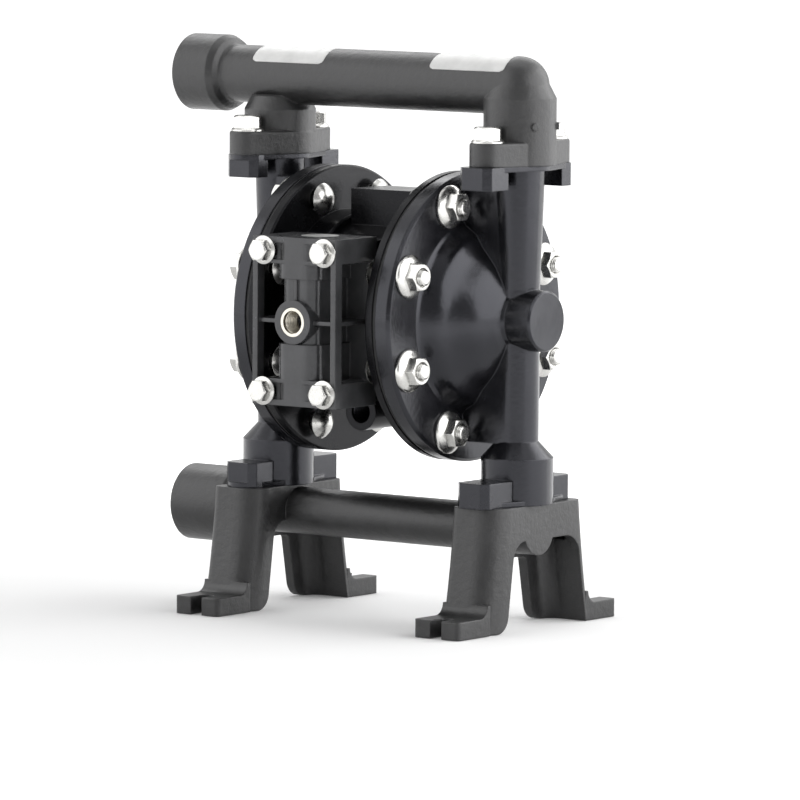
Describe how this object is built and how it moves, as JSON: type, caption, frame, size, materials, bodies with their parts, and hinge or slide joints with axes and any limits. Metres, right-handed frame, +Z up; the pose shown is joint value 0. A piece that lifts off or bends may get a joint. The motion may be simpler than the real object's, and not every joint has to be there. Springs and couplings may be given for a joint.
{
  "type": "air operated double diaphragm pump",
  "caption": "Compact metal air operated double diaphragm pump with ball checks, threaded manifolds, front air valve block and slotted feet.",
  "frame": {"origin": "on the floor, midway between the four foot slots", "axes": "+X along the manifolds towards their closed end, -Y the side of the air valve block, +Z up"},
  "size_m": [0.2249, 0.1635, 0.2895],
  "materials": {
    "cast_black": "sand-cast, coated satin black",
    "coated_black": "die-cast, coated satin black",
    "stainless": "bright stainless steel",
    "port_insert": "turned and plated",
    "diaphragm_rubber": "moulded rubber",
    "gasket_sheet": "cut sheet",
    "seal_rubber": "moulded rubber",
    "plate_metal": "turned",
    "spool_plastic": "turned acetal",
    "bearing_plastic": "turned",
    "seat_plastic": "turned",
    "ball_plastic": "ground"
  },
  "bodies": {
    "pump_body": {"air_cover_left": "coated_black", "air_cover_right": "coated_black", "air_cover_screws_left": "stainless", "air_cover_screws_right": "stainless", "air_inlet_insert": "port_insert", "centre_body": "coated_black", "cover_bolts_left": "stainless", "cover_bolts_right": "stainless", "cover_nuts_left": "stainless", "cover_nuts_right": "stainless", "diaphragm_left": "diaphragm_rubber", "diaphragm_right": "diaphragm_rubber", "fluid_cover_left": "coated_black", "fluid_cover_right": "coated_black", "inlet_manifold": "cast_black", "inlet_manifold_bolts": "stainless", "inlet_seat_left": "seat_plastic", "inlet_seat_right": "seat_plastic", "inlet_seat_seal_left": "seal_rubber", "inlet_seat_seal_right": "seal_rubber", "outlet_manifold": "cast_black", "outlet_manifold_bolts": "stainless", "outlet_seat_left": "seat_plastic", "outlet_seat_right": "seat_plastic", "outlet_seat_seal_left": "seal_rubber", "outlet_seat_seal_right": "seal_rubber", "pilot_cover": "coated_black", "pilot_cover_gasket": "gasket_sheet", "pilot_cover_screws": "stainless", "shaft_bush_left": "bearing_plastic", "shaft_bush_right": "bearing_plastic", "shaft_seal_left": "seal_rubber", "shaft_seal_right": "seal_rubber", "spool_cap_lower": "plate_metal", "spool_cap_upper": "plate_metal", "spool_sleeve": "plate_metal", "valve_block": "coated_black", "valve_block_gasket": "gasket_sheet", "valve_block_screws": "stainless"},
    "shaft": {"diaphragm_shaft": "stainless", "inner_plate_left": "plate_metal", "inner_plate_right": "plate_metal", "outer_plate_left": "plate_metal", "outer_plate_right": "plate_metal", "shaft_nut_left": "stainless", "shaft_nut_right": "stainless"},
    "pilot": {"pilot_spool": "spool_plastic", "pilot_pin_left": "stainless", "pilot_pin_right": "stainless"},
    "spool": {"valve_spool": "spool_plastic"},
    "inlet_ball_left": {"inlet_ball_left": "ball_plastic"},
    "inlet_ball_right": {"inlet_ball_right": "ball_plastic"},
    "outlet_ball_left": {"outlet_ball_left": "ball_plastic"},
    "outlet_ball_right": {"outlet_ball_right": "ball_plastic"}
  },
  "joints": [
    {"name": "shaft_stroke", "type": "slide", "parent": "pump_body", "child": "shaft", "axis": [1, 0, 0], "range_m": [-0.008, 0.008], "deforming": ["diaphragm_left", "diaphragm_right"]},
    {"name": "pilot_shift", "type": "slide", "parent": "pump_body", "child": "pilot", "axis": [1, 0, 0], "range_m": [-0.0018, 0.0018]},
    {"name": "spool_shift", "type": "slide", "parent": "pump_body", "child": "spool", "axis": [0, 0, 1], "range_m": [0, 0.009]},
    {"name": "inlet_ball_left_lift", "type": "slide", "parent": "pump_body", "child": "inlet_ball_left", "axis": [0, 0, 1], "range_m": [0, 0.004]},
    {"name": "inlet_ball_right_lift", "type": "slide", "parent": "pump_body", "child": "inlet_ball_right", "axis": [0, 0, 1], "range_m": [0, 0.004]},
    {"name": "outlet_ball_left_lift", "type": "slide", "parent": "pump_body", "child": "outlet_ball_left", "axis": [0, 0, 1], "range_m": [0, 0.004]},
    {"name": "outlet_ball_right_lift", "type": "slide", "parent": "pump_body", "child": "outlet_ball_right", "axis": [0, 0, 1], "range_m": [0, 0.004]}
  ]
}
